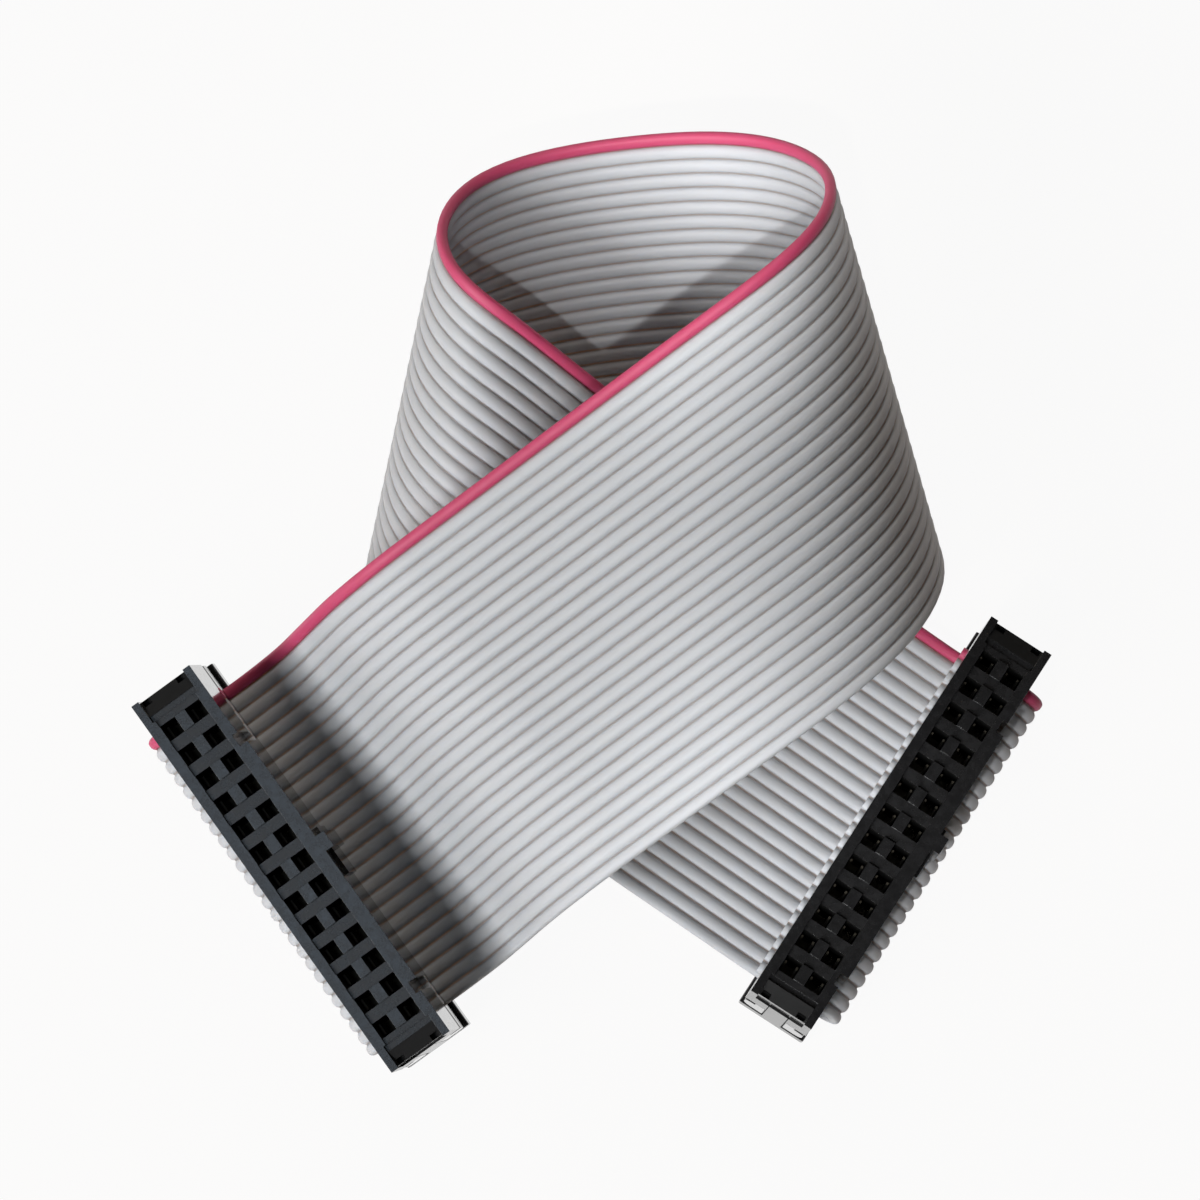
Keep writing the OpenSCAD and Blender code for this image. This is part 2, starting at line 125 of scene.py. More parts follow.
class Bench:
    """The node tree of a material or a world, where a finish is put together."""

    def __init__(self, holder: bpy.types.Material | bpy.types.World) -> None:
        """Empties the holder's node tree.

        Args:
            holder: The material or world.
        """
        self.holder = holder
        holder.use_nodes = True
        self.tree = holder.node_tree
        self.tree.nodes.clear()

    def node(self, kind: str, settings: dict | None = None, inputs: dict | None = None) -> Added:
        """Adds any node.

        Args:
            kind: The node's type.
            settings: Its own settings, by name.
            inputs: Values or links for its sockets, by number or name.

        Returns:
            The node that was added.
        """
        made = self.tree.nodes.new(kind)
        for key, value in (settings or {}).items():
            setattr(made, key, value)
        for key, value in (inputs or {}).items():
            if isinstance(value, Value):
                self.tree.links.new(value.socket, made.inputs[key])
            else:
                made.inputs[key].default_value = value
        return Added(self, made)

    def mix(self, factor: object, first: object, second: object) -> Value:
        """Blends two colours.

        Args:
            factor: 0 gives the first and 1 the second.
            first: A colour or a Value.
            second: A colour or a Value.

        Returns:
            The blended colour.
        """
        def full(colour: object) -> object:
            """A plain colour with its alpha, or the Value as it is."""
            return colour if isinstance(colour, Value) else (*colour, 1.0)
        return self.node("ShaderNodeMix", {"data_type": "RGBA"},
                         {0: factor, 6: full(first), 7: full(second)}).out(2)

    def noise(self, scale: float, detail: float = 2.0, roughness: float = 0.5) -> Value:
        """Noise on the piece's own coordinates.

        Args:
            scale: Waves to a metre.
            detail: Layers of finer noise.
            roughness: Share that the finer layers keep.

        Returns:
            The noise, about 0.5 on the whole.
        """
        place = self.node("ShaderNodeTexCoord").out("Object")
        return self.node("ShaderNodeTexNoise", {}, {
            "Vector": place, "Scale": scale, "Detail": detail, "Roughness": roughness}).out(0)

    def attribute(self, name: str) -> Value:
        """A number that the mesh carries at its points or faces."""
        return self.node("ShaderNodeAttribute", {"attribute_name": name}).out("Fac")

    def bump(self, height: Value, strength: float, distance: float) -> Value:
        """Small relief.

        Args:
            height: The relief, from 0 to 1.
            strength: Share of the effect.
            distance: Height that 1 stands for, in metres.

        Returns:
            The normal that goes to the shader.
        """
        return self.node("ShaderNodeBump", {}, {
            "Strength": strength, "Distance": distance, "Height": height}).out(0)

    def surface(self, sockets: dict) -> bpy.types.Material:
        """Ends the material in a Principled shader.

        Args:
            sockets: Values or links for the shader's sockets, by name.

        Returns:
            The finished material.
        """
        return self.output(self.node("ShaderNodeBsdfPrincipled", {}, sockets).out(0))

    def output(self, shader: Value) -> bpy.types.Material:
        """Ends the material in the given shader."""
        self.node("ShaderNodeOutputMaterial", {}, {0: shader})
        return self.holder


# Finishes

@dataclass(frozen=True)
class InsulationFinish:
    """Glossy PVC over stranded wire, with thinner webs that let light through.

    Waves are to the metre, and heights and depths are in metres.
    """
    name: str
    colour: Colour
    # Darker colour of the webs and the conductor edges: painted shade in the valleys between
    # conductors.
    valley_shade_colour: Colour
    through_colour: Colour = (0.95, 0.64, 0.4)
    through: float = 0.52
    tone_waves: float = 90.0
    tone_layers: float = 3.0
    tone_spread: float = 0.05
    roughness: float = 0.5
    roughness_waves: float = 600.0
    roughness_spread: float = 0.1
    refraction: float = 1.53
    soft_share: float = 0.5
    soft_colour: Colour = (1.0, 0.9, 0.8)
    soft_depth: float = 0.0005
    relief_waves: float = 2600.0
    relief_share: float = 0.12
    relief_height: float = 0.00003

    def material(self) -> bpy.types.Material:
        """Puts the insulation's material together.

        Returns:
            The material.
        """
        bench = Bench(bpy.data.materials.new(self.name))
        web = bench.attribute("web")
        tone = bench.mix(bench.noise(self.tone_waves, self.tone_layers),
                         tuple((1 - self.tone_spread) * c for c in self.colour),
                         tuple((1 + self.tone_spread) * c for c in self.colour))
        relief = bench.bump(bench.noise(self.relief_waves), self.relief_share,
                            self.relief_height)
        skin = bench.node("ShaderNodeBsdfPrincipled", {}, {
            # Webs and conductor edges take a darker colour here: painted shade in the valleys
            # between conductors.
            "Base Color": bench.mix(web, tone, self.valley_shade_colour),
            "Roughness": self.roughness + self.roughness_spread * bench.noise(
                self.roughness_waves),
            "IOR": self.refraction,
            "Subsurface Weight": self.soft_share,
            "Subsurface Radius": self.soft_colour,
            "Subsurface Scale": self.soft_depth,
            "Normal": relief,
        }).out(0)
        through = bench.node("ShaderNodeBsdfTranslucent", {}, {
            "Color": (*self.through_colour, 1.0)}).out(0)
        return bench.output(bench.node("ShaderNodeMixShader", {}, {
            0: self.through * web, 1: skin, 2: through}).out(0))


@dataclass(frozen=True)
class MouldedFinish:
    """Black moulded plastic with a fine grain, duller on the bars and polished on the walls.

    The mottle and the grain are each given by their waves to the metre, layers and roughness.
    """
    name: str = "black_moulding"
    colour: Colour = (0.006, 0.0058, 0.006)
    worn_colour: Colour = (0.02, 0.02, 0.021)
    mottle: tuple[float, float, float] = (1400.0, 4.0, 0.65)
    grain: tuple[float, float, float] = (5200.0, 3.0, 0.6)
    roughness: float = 0.12
    roughness_spread: float = 0.2
    bar_dulling: float = 0.06
    wall_polish: float = 0.06
    refraction: float = 1.5
    specular: float = 0.5
    coat: float = 0.7
    coat_roughness: float = 0.1
    grain_share: float = 0.6
    relief_share: float = 0.6
    relief_height: float = 0.00002

    def material(self) -> bpy.types.Material:
        """Puts the plastic's material together.

        Returns:
            The material.
        """
        bench = Bench(bpy.data.materials.new(self.name))
        mottle = bench.noise(*self.mottle)
        grain = bench.noise(*self.grain)
        wall = bench.attribute("wall")
        relief = self.grain_share * grain + (1 - self.grain_share) * mottle
        return bench.surface({
            "Base Color": bench.mix(mottle, self.colour, self.worn_colour),
            "Roughness": (self.roughness + self.roughness_spread * mottle
                          + self.bar_dulling * bench.attribute("sunk")
                          - self.wall_polish * wall),
            "IOR": self.refraction,
            "Specular IOR Level": self.specular,
            "Coat Weight": self.coat * wall,
            "Coat Roughness": self.coat_roughness,
            "Normal": bench.bump(relief, self.relief_share, self.relief_height),
        })


@dataclass(frozen=True)
class ContactFinish:
    """Plated spring metal, a little tarnished, its colour kept very dark as painted shade deep in
    the sockets.
    """
    name: str = "plated_contact"
    # Much darker than plated metal: painted shade of the deep socket pockets.
    colour: Colour = (0.1, 0.09, 0.07)
    tarnish_waves: float = 1800.0
    tarnish_shade: float = 0.85
    roughness: float = 0.4
    roughness_spread: float = 0.15

    def material(self) -> bpy.types.Material:
        """Puts the metal's material together.

        Returns:
            The material.
        """
        bench = Bench(bpy.data.materials.new(self.name))
        tarnish = bench.noise(self.tarnish_waves)
        return bench.surface({
            "Base Color": bench.mix(tarnish, self.colour,
                                    tuple(self.tarnish_shade * c for c in self.colour)),
            "Metallic": 1.0,
            "Roughness": self.roughness + self.roughness_spread * tarnish,
        })


# The ribbon's route

@dataclass
class Tail:
    """One end of the ribbon, from the loop to its cut end, in millimetres and degrees."""
    side: int
    reach: float
    slope: float
    tilt: float
    cut_overhang: float


@dataclass
class Route:
    """A strip that bends without stretching: a piece of a cone, with a bent tail at each end.

    Lengths are in millimetres and angles in degrees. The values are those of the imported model,
    whose section ends in the edge_shares: distance out and half thickness, as shares of a wire.
    """
    conductors: int = 26
    pitch: float = 1.27
    wire: float = 0.92
    cad_web: float = 0.5
    tip_to_red: float = 63.0
    heading: float = 9.3
    section_turn: float = 19.0
    crest_radius: float = 15.0
    foot_radius: float = 8.0
    body_width: float = 6.0
    strap: float = 1.8
    cover: float = 3.3
    seat_gap: float = 0.02
    fold_overhang: float = 1.85
    strap_margin: float = 0.2
    corner: float = 0.3
    edge_shares: tuple[tuple[float, float], ...] = ((0.35, 0.36), (0.5, 0.15))
    last_degree: int = 60
    flat_angle: float = 40.0
    longest_step: float = 3.0
    left: Tail = field(default_factory=lambda: Tail(1, 68.8, 70.0, 11.0, 0.05))
    right: Tail = field(default_factory=lambda: Tail(-1, 74.3, 14.0, 0.0, 0.4))
    rates: tuple[tuple[float, float], ...] = (
        (-34, 0), (-30, 19.2), (-26, 10.9), (-22, 5.9), (-17, 6.9), (-11, 3.4), (-5, 1.7),
        (0, 3.7), (5, 4.8), (11, 4.7), (17, 5.6), (22, 7.4), (26, 7.4), (30, 4.4), (34, 0))

    def __post_init__(self) -> None:
        """Works out what the other methods share."""
        self.half_span = (self.conductors - 1) * self.pitch / 2
        self.tip_to_middle = self.tip_to_red + self.half_span
        layer = self.wire + 2 * self.seat_gap
        self.low_z = self.strap + layer / 2
        self.fold_radius = (self.cover + layer) / 2
        self.fold_start = (self.body_width / 2 + self.fold_overhang
                           - self.fold_radius - self.wire / 2)
        self.edge_y = self.body_width / 2 + self.strap_margin - self.corner
        self.frames = {side: self._frames_to(side) for side in (1, -1)}
        up = self._across(-self.flat_angle).cross(self._across(self.flat_angle)).normalized()
        back = (Vector((0, 1, 0)) - up * up[1]).normalized()
        aside = back.cross(up)
        turn = math.radians(self.heading)
        self.axes = (math.cos(turn) * aside - math.sin(turn) * back,
                     math.sin(turn) * aside + math.cos(turn) * back, up)
        self.low = 0.0
        self.low = min(
            (place + facing * half * sign).z
            for angle in self.loop_angles(self.section_turn, 1)
            for offset, half in self._cad_section()
            for sign in (1, -1)
            for place, facing in [self.on_cone(self._length_at(angle, offset), offset)])
        self.origin = Vector((0, 0, 0))
        self.origin = self._connector_place(self.right)

    def _cad_section(self) -> list[tuple[float, float]]:
        """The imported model's section, from the first web to the grey edge.

        Returns:
            Distance across and half thickness of each point.
        """
        points = []
        for i in range(1, self.conductors):
            middle = i * self.pitch - self.half_span
            points.append((middle - self.pitch / 2, self.cad_web / 2))
            points.append((middle, self.wire / 2))
        return points + [(self.half_span + self.wire * out, self.wire * half)
                         for out, half in self.edge_shares]

    def rate(self, angle: float) -> float:
        """Bending of the loop.

        Args:
            angle: The angle round the tip.

        Returns:
            The surface's turning per radian.
        """
        if angle <= self.rates[0][0] or angle >= self.rates[-1][0]:
            return 0.0
        for (a, low), (b, high) in zip(self.rates, self.rates[1:]):
            if angle <= b:
                return low + (high - low) * (angle - a) / (b - a)
        return 0.0

    def _moved(self, pair: tuple[Vector, Vector], rate: float,
               angle: float) -> tuple[Vector, Vector]:
        """Turns the direction from the tip and the direction of travel.

        Args:
            pair: The two directions.
            rate: The bending, which tilts the axis of the turn.
            angle: The angle round the tip.

        Returns:
            The two directions after the move.
        """
        axis = (pair[0].cross(pair[1]) + rate * pair[0]).normalized()
        turn = Matrix.Rotation(math.radians(angle * math.sqrt(1 + rate * rate)), 3, axis)
        return turn @ pair[0], turn @ pair[1]

    def _frames_to(self, side: int) -> list[tuple[Vector, Vector]]:
        """Direction pairs at each whole degree on one side.

        Args:
            side: 1 for the way to the left connector, -1 for the other way.

        Returns:
            The pairs, from the middle of the loop outward.
        """
        pairs = [(Vector((0, -1, 0)), Vector((1, 0, 0)))]
        for i in range(self.last_degree):
            pairs.append(self._moved(pairs[-1], self.rate(side * (i + 0.5)), side))
        return pairs

    def frame_at(self, angle: float) -> tuple[Vector, Vector]:
        """The direction pair at any angle.

        Args:
            angle: The angle round the tip.

        Returns:
            The direction from the tip and the direction of travel.
        """
        side = -1 if angle < 0 else 1
        i = int(math.floor(abs(angle)))
        return self._moved(self.frames[side][i], self.rate(side * (i + 0.5)), angle - side * i)

    def _across(self, angle: float) -> Vector:
        """Direction across the ribbon where it is flat."""
        u, t = self.frame_at(angle)
        return math.cos(math.radians(angle)) * u - math.sin(math.radians(angle)) * t

    def _along(self, angle: float) -> Vector:
        """Direction along the conductors where it is flat."""
        u, t = self.frame_at(angle)
        return math.sin(math.radians(angle)) * u + math.cos(math.radians(angle)) * t

    def _level(self, v: Vector) -> Vector:
        """A direction in the upright frame."""
        return Vector([v.dot(axis) for axis in self.axes])

    def on_cone(self, length: float, offset: float) -> tuple[Vector, Vector]:
        """A place on the loop's middle surface.

        Args:
            length: Distance along the conductors from the loop's middle.
            offset: Distance across from the ribbon's middle.

        Returns:
            The place, and the direction that faces into the loop.
        """
        reach = self.tip_to_middle + offset
        u, t = self.frame_at(math.degrees(math.atan2(length, reach)))
        return self._level(u) * math.hypot(length, reach), self._level(u.cross(t))

    def _length_at(self, angle: float, offset: float) -> float:
        """Length along a conductor at an angle, kept out of the tails."""
        length = math.tan(math.radians(angle)) * (self.tip_to_middle + offset)
        return max(-self.right.reach, min(self.left.reach, length))

    def loop_angles(self, turn: float, least: int) -> list[float]:
        """Angles of the sections round the loop.

        Args:
            turn: Most turning between two sections.
            least: Fewest sections between two of the rates' angles.

        Returns:
            The angles, in rising order.
        """
        angles = []
        for (a, low), (b, high) in zip(self.rates, self.rates[1:]):
            n = max(least, math.ceil((b - a) * (low + high) / 2 / turn))
            angles += [a + (b - a) * j / n for j in range(n)]
        return angles + [float(self.rates[-1][0])]

    def _base(self, tail: Tail) -> Vector:
        """Middle of the ribbon where a tail starts."""
        place = self.on_cone(tail.side * tail.reach, 0.0)[0]
        return place - Vector((0, 0, self.low))

    def _travel(self, tail: Tail) -> Vector:
        """Outward direction of a tail at its start."""
        return tail.side * self._level(self._along(tail.side * self.flat_angle))

    def _heading(self, tail: Tail) -> Vector:
        """Outward direction of a tail, seen from above."""
        travel = self._travel(tail)
        return Vector((travel.x, travel.y, 0)).normalized()

    def width_direction(self, tail: Tail) -> Vector:
        """Level direction across a tail, from the red edge to the grey edge."""
        return self._level(self._across(tail.side * self.flat_angle))

    def _exit(self, tilt: float) -> tuple[float, float]:
        """Where the ribbon leaves a connector.

        Args:
            tilt: How far the connector leans outward.

        Returns:
            Distances outward and up from the edge that the connector leans on.
        """
        y, z = self.body_width / 2 + self.edge_y, self.low_z - self.corner
        c, s = math.cos(math.radians(tilt)), math.sin(math.radians(tilt))
        return y * c - z * s, self.corner + y * s + z * c

    def _legs(self, tail: Tail) -> list[tuple[float, float]]:
        """The legs of a tail: slope, drop, foot, run, fold and run back.

        Args:
            tail: The tail.

        Returns:
            Length and upward turn of each leg.
        """
        start = math.degrees(math.asin(-self._travel(tail).z))
        change = start - tail.slope
        cosine = {a: math.cos(math.radians(a)) for a in (start, tail.slope, tail.tilt)}
        drop = (self._base(tail).z - self._exit(tail.tilt)[1]
                - self.crest_radius * abs(cosine[start] - cosine[tail.slope])
                - self.foot_radius * (cosine[tail.tilt] - cosine[tail.slope]))
        foot = tail.slope - tail.tilt
        half = self.body_width / 2
        return [
            (self.crest_radius * math.radians(abs(change)), change),
            (drop / math.sin(math.radians(tail.slope)), 0.0),
            (self.foot_radius * math.radians(foot), foot),
            (half + self.fold_start, 0.0),
            (self.fold_radius * math.pi, 180.0),
            (self.fold_start + half + tail.cut_overhang, 0.0)]

    @staticmethod
    def _step(start: tuple[float, float, float], leg: tuple[float, float],
              part: float) -> tuple[float, float, float]:
        """A place on a leg.

        Args:
            start: Run, rise and slope at the leg's start.
            leg: The leg's length and turn.
            part: Share of the leg.

        Returns:
            Run, rise and slope there.
        """
        run, rise, slope = start
        a = math.radians(slope)
        length, turn = leg[0] * part, math.radians(leg[1]) * part
        if leg[1] == 0:
            return run + length * math.cos(a), rise + length * math.sin(a), slope
        radius = leg[0] / math.radians(leg[1])
        return (run + radius * (math.sin(a + turn) - math.sin(a)),
                rise - radius * (math.cos(a + turn) - math.cos(a)), slope + math.degrees(turn))

    def _tail_places(self, tail: Tail, turn: float) -> list[tuple[float, float, float]]:
        """Run, rise and slope of each section of a tail.

        Args:
            tail: The tail.
            turn: Most turning between two sections.

        Returns:
            The sections, from the tail's start to its cut end.
        """
        places = [(0.0, 0.0, math.degrees(math.asin(self._travel(tail).z)))]
        for leg in self._legs(tail):
            start = places[-1]
            n = max(math.ceil(abs(leg[1]) / turn), math.ceil(leg[0] / self.longest_step))
            places += [self._step(start, leg, (j + 1) / n) for j in range(n)]
        return places

    def connector_frame(self, tail: Tail) -> Matrix:
        """Turns a connector's own coordinates into the row frame, in millimetres.

        Args:
            tail: The tail that the connector is on.

        Returns:
            The matrix, from X along the connector and Z up out of its face.
        """
        place = self._connector_place(tail) - self.origin
        wide = self.width_direction(tail)
        edge = Vector((0, tail.side * self.edge_y, -self.corner))
        return (Matrix.Translation(place) @ Matrix.Rotation(math.atan2(wide.y, wide.x), 4, "Z")
                @ Matrix.Translation(-edge)
                @ Matrix.Rotation(math.radians(tail.side * tail.tilt), 4, "X")
                @ Matrix.Translation(edge))

    def _connector_place(self, tail: Tail) -> Vector:
        """Middle of a connector before it leans.

        Args:
            tail: The tail that the connector is on.

        Returns:
            The place on the surface that the cable lies on.
        """
        start = (0.0, 0.0, math.degrees(math.asin(self._travel(tail).z)))
        for leg in self._legs(tail)[:3]:
            start = self._step(start, leg, 1.0)
        out = start[0] + self._exit(tail.tilt)[0] - self.edge_y
        place = self._base(tail) + self._heading(tail) * out
        return Vector((place.x, place.y, 0))

    def _tail_rings(self, tail: Tail, turn: float, offsets: list[float]) -> list[list]:
        """Sections of a tail.

        Args:
            tail: The tail.
            turn: Most turning between two sections.
            offsets: Distances across the ribbon.

        Returns:
            A (place, facing) pair for each offset of each section.
        """
        base, heading = self._base(tail) - self.origin, self._heading(tail)
        wide = self.width_direction(tail)
        rings = []
        for run, rise, slope in self._tail_places(tail, turn):
            a = math.radians(slope)
            middle = base + heading * run + Vector((0, 0, rise))
            facing = heading * math.sin(a) - Vector((0, 0, math.cos(a)))
            rings.append([(middle + wide * offset, facing) for offset in offsets])
        return rings

    def rings(self, turn: float, least: int, offsets: list[float]) -> list[list]:
        """Sections of the whole ribbon, from the right cut end to the left one.

        Args:
            turn: Most turning between two sections.
            least: Fewest sections between two of the rates' angles.
            offsets: Distances across the ribbon.

        Returns:
            A (place, facing) pair for each offset of each section.
        """
        lift = self.origin + Vector((0, 0, self.low))
        loop = []
        for angle in self.loop_angles(turn, least):
            ring = []
            for offset in offsets:
                place, facing = self.on_cone(self._length_at(angle, offset), offset)
                ring.append((place - lift, facing))
            loop.append(ring)
        right = self._tail_rings(self.right, turn, offsets)
        return right[::-1] + loop + self._tail_rings(self.left, turn, offsets)


# The ribbon

@dataclass
class Ribbon:
    """The grey conductors and the red edge conductor, as two skins side by side.

    Lengths are in millimetres and angles in degrees. The outer_edge stands for as many of an
    outermost conductor's steps, as distance from its middle and half thickness.
    """
    route: Route
    grey: InsulationFinish
    red: InsulationFinish
    web: float = 0.33
    half_width: float = 0.57
    fullness: float = 2.3
    steps: tuple[float, ...] = (-0.555, -0.49, -0.37, -0.2, 0.0, 0.2, 0.37, 0.49, 0.555)
    outer_edge: tuple[tuple[float, float], ...] = ((0.33, 0.33), (0.42, 0.2), (0.46, 0.03))
    shoulder: float = 0.015
    # Share of the painted valley shade at the outermost steps of each conductor.
    valley_shade_share: float = 0.5
    turn: float = 6.0
    least: int = 5
    smooth_angle: float = 38.0

    def _wire_points(self, first: int, last: int) -> list[tuple[float, float, float]]:
        """Section points over a run of conductors.

        Args:
            first: Number of the first conductor.
            last: Number of the last conductor.

        Returns:
            Distance across, half thickness and web share of each point.
        """
        r = self.route
        points = []
        for i in range(first, last + 1):
            middle = i * r.pitch - r.half_span
            if i > first:
                points.append((middle - r.pitch / 2, self.web / 2, 1.0))
            for step in self.steps:
                rest = 1 - (abs(step) / self.half_width) ** self.fullness
                height = r.wire / 2 * rest ** (1 / self.fullness)
                # The outer steps of each conductor get part of the painted valley shade.
                share = self.valley_shade_share if abs(step) == self.steps[-1] else 0.0
                points.append((middle + step, max(self.web / 2 + self.shoulder, height), share))
        return points

    def _grey_section(self) -> list[tuple[float, float, float]]:
        """Section of the grey part, from the web beside the red conductor.

        Returns:
            Distance across, half thickness and web share of each point.
        """
        r = self.route
        start = (r.pitch / 2 - r.half_span, self.web / 2, 1.0)
        edge = [(r.half_span + step, half, 0.0) for step, half in self.outer_edge]
        return [start] + self._wire_points(1, r.conductors - 1)[:-len(edge)] + edge

    def _red_section(self) -> list[tuple[float, float, float]]:
        """Section of the red part, up to the middle of its web.

        Returns:
            Distance across, half thickness and web share of each point.
        """
        r = self.route
        edge = [(-r.half_span - step, half, 0.0) for step, half in reversed(self.outer_edge)]
        end = (r.pitch / 2 - r.half_span, self.web / 2, 1.0)
        return edge + self._wire_points(0, 0)[len(edge):] + [end]

    def _skin(self, name: str, section: list[tuple[float, float, float]],
              finish: InsulationFinish) -> bpy.types.Object:
        """Makes one closed skin along the route.

        Args:
            name: The piece's name.
            section: Distance across, half thickness and web share of each point.
            finish: What it is covered with.

        Returns:
            The finished piece.
        """
        offsets = [p[0] for p in section]
        rings = self.route.rings(self.turn, self.least, offsets)
        closed = list(range(len(section))) + list(range(len(section) - 1, -1, -1)) + [0]
        signs = [1] * len(section) + [-1] * len(section) + [1]
        bpy.ops.object.select_all(action="DESELECT")
        bpy.ops.mesh.primitive_grid_add(
            x_subdivisions=len(closed) - 1, y_subdivisions=len(rings) - 1, size=1.0)
        piece = bpy.context.active_object
        piece.name = name
        mesh = piece.data
        places, webs = [], []
        for ring in rings:
            for k, sign in zip(closed, signs):
                place, facing = ring[k]
                places.extend((place + facing * section[k][1] * sign) * MM)
                webs.append(section[k][2])
        mesh.vertices.foreach_set("co", places)
        mesh.attributes.new("web", "FLOAT", "POINT").data.foreach_set("value", webs)
        bpy.ops.object.mode_set(mode="EDIT")
        bpy.ops.mesh.select_all(action="SELECT")
        bpy.ops.mesh.remove_doubles(threshold=MERGE_DISTANCE)
        bpy.ops.mesh.fill_holes(sides=0)
        bpy.ops.mesh.select_all(action="SELECT")
        bpy.ops.mesh.normals_make_consistent(inside=False)
        bpy.ops.object.mode_set(mode="OBJECT")
        bpy.ops.object.shade_smooth_by_angle(angle=math.radians(self.smooth_angle))
        mesh.materials.append(finish.material())
        return piece

    def centreline(self) -> list[Vector]:
        """Points along the ribbon's middle, from the right cut end to the left one, in metres."""
        return [ring[0][0] * MM for ring in self.route.rings(self.turn, self.least, [0.0])]

    def build(self) -> list[bpy.types.Object]:
        """Makes both skins.

        Returns:
            The grey part and the red part.
        """
        grey = self._skin("ribbon_conductors", self._grey_section(), self.grey)
        red = self._skin("ribbon_edge_conductor", self._red_section(), self.red)
        for piece, node, slot in ((grey, "ribbon_grey", "grey_insulation"),
                                  (red, "ribbon_red", "red_insulation")):
            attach(piece, "root")
            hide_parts(node)
            LOG.info("%s: %d faces", piece.name, len(piece.data.polygons))
        return [grey, red]


# The connectors

@dataclass
class Connector:
    """One socket connector: body, cover, strain relief and its contacts.

    Lengths are in millimetres and angles in degrees.
    """
    side: Side
    frame: Matrix
    plastic: bpy.types.Material
    # Darker, duller plastic for the pockets and the end recesses: painted shade.
    recess_shade: bpy.types.Material
    metal: bpy.types.Material
    edge: float = 0.07
    edge_segments: int = 2
    edge_angle: float = 40.0
    same_plane: float = 1.0
    upright_limit: float = 0.3
    least_drop: float = 0.08
    pocket_drop: float = 0.5
    recess_end: float = 19.0
    face_z: float = 14.12
    field_half: tuple[float, float] = (17.0, 2.25)
    mouldings: tuple[str, ...] = ("body", "cover", "strain_relief")
    contacts: tuple[str, ...] = ("contacts_key_side", "contacts_plain_side")

    def _softened(self, part: str) -> bpy.types.Object:
        """Copies a moulding and rounds its edges.

        Args:
            part: Which moulding.

        Returns:
            The copy, which stands for the node.
        """
        node = f"{self.side.value}_{part}"
        piece = bpy.data.objects.new(f"{node}_moulding", frame["nodes"][node].data.copy())
        bpy.context.scene.collection.objects.link(piece)
        bpy.ops.object.select_all(action="DESELECT")
        piece.select_set(True)
        bpy.context.view_layer.objects.active = piece
        bpy.ops.object.mode_set(mode="EDIT")
        bpy.ops.mesh.select_all(action="SELECT")
        bpy.ops.mesh.customdata_custom_splitnormals_clear()
        bpy.ops.mesh.remove_doubles(threshold=MERGE_DISTANCE)
        bpy.ops.mesh.dissolve_limited(angle_limit=math.radians(self.same_plane))
        bpy.ops.object.mode_set(mode="OBJECT")
        bevel = piece.modifiers.new("edges", "BEVEL")
        bevel.width = self.edge * MM
        bevel.segments = self.edge_segments
        bevel.limit_method = "ANGLE"
        bevel.angle_limit = math.radians(self.edge_angle)
        bpy.ops.object.modifier_apply(modifier=bevel.name)
        bpy.ops.object.shade_smooth_by_angle(angle=math.radians(self.edge_angle))
        flat = piece.modifiers.new("flat", "WEIGHTED_NORMAL")
        flat.keep_sharp = True
        bpy.ops.object.modifier_apply(modifier=flat.name)
        piece.data.materials.clear()
        piece.data.materials.append(self.plastic)
        piece.data.materials.append(self.recess_shade)
        self._mark(piece)
        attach(piece, "root")
        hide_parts(node)
        return piece

    def _mark(self, piece: bpy.types.Object) -> None:
        """Marks the bars and the outer walls, and gives the pockets and the end recesses a
        darker, duller plastic as painted shade.

        Args:
            piece: A moulding of this connector.
        """
        own = self.frame.inverted()
        sunk, wall = [], []
        for face in piece.data.polygons:
            x, y, z = own @ (face.center / MM)
            between = abs(y) < self.field_half[1]
            inside = between and abs(x) < self.field_half[0]
            drop = self.face_z - z
            upright = abs((own.to_3x3() @ face.normal).z) < self.upright_limit
            sunk.append(1.0 if between and drop > self.least_drop else 0.0)
            wall.append(1.0 if upright and not inside else 0.0)
            # Pockets and end recesses take the second material, a darker and duller plastic:
            # painted shade in the recesses.
            deep = drop > (self.pocket_drop if inside else self.least_drop)
            face.material_index = 1 if between and deep and abs(x) < self.recess_end else 0
        for name, values in (("sunk", sunk), ("wall", wall)):
            piece.data.attributes.new(name, "FLOAT", "FACE").data.foreach_set("value", values)

    def build(self) -> list[bpy.types.Object]:
        """Dresses the connector.

        Returns:
            Its pieces.
        """
        pieces = [self._softened(part) for part in self.mouldings]
        for part in self.contacts:
            node = frame["nodes"][f"{self.side.value}_{part}"]
            for slot in node.material_slots:
                slot.material = self.metal
            pieces.append(node)
        for piece in pieces:
            LOG.info("%s: %d faces", piece.name, len(piece.data.polygons))
        return pieces


# Camera, light and table

@dataclass(frozen=True)
class Softbox:
    """A square lamp that points at the camera's aim, in degrees, metres and watts."""
    name: str
    azimuth: float
    elevation: float
    size: float
    power: float
    colour: Colour


@dataclass(frozen=True)
class Spot:
    """A narrow lamp that points at its own target, in degrees, watts and millimetres."""
    name: str
    azimuth: float
    elevation: float
    cone: float
    power: float
    target: tuple[float, float, float]


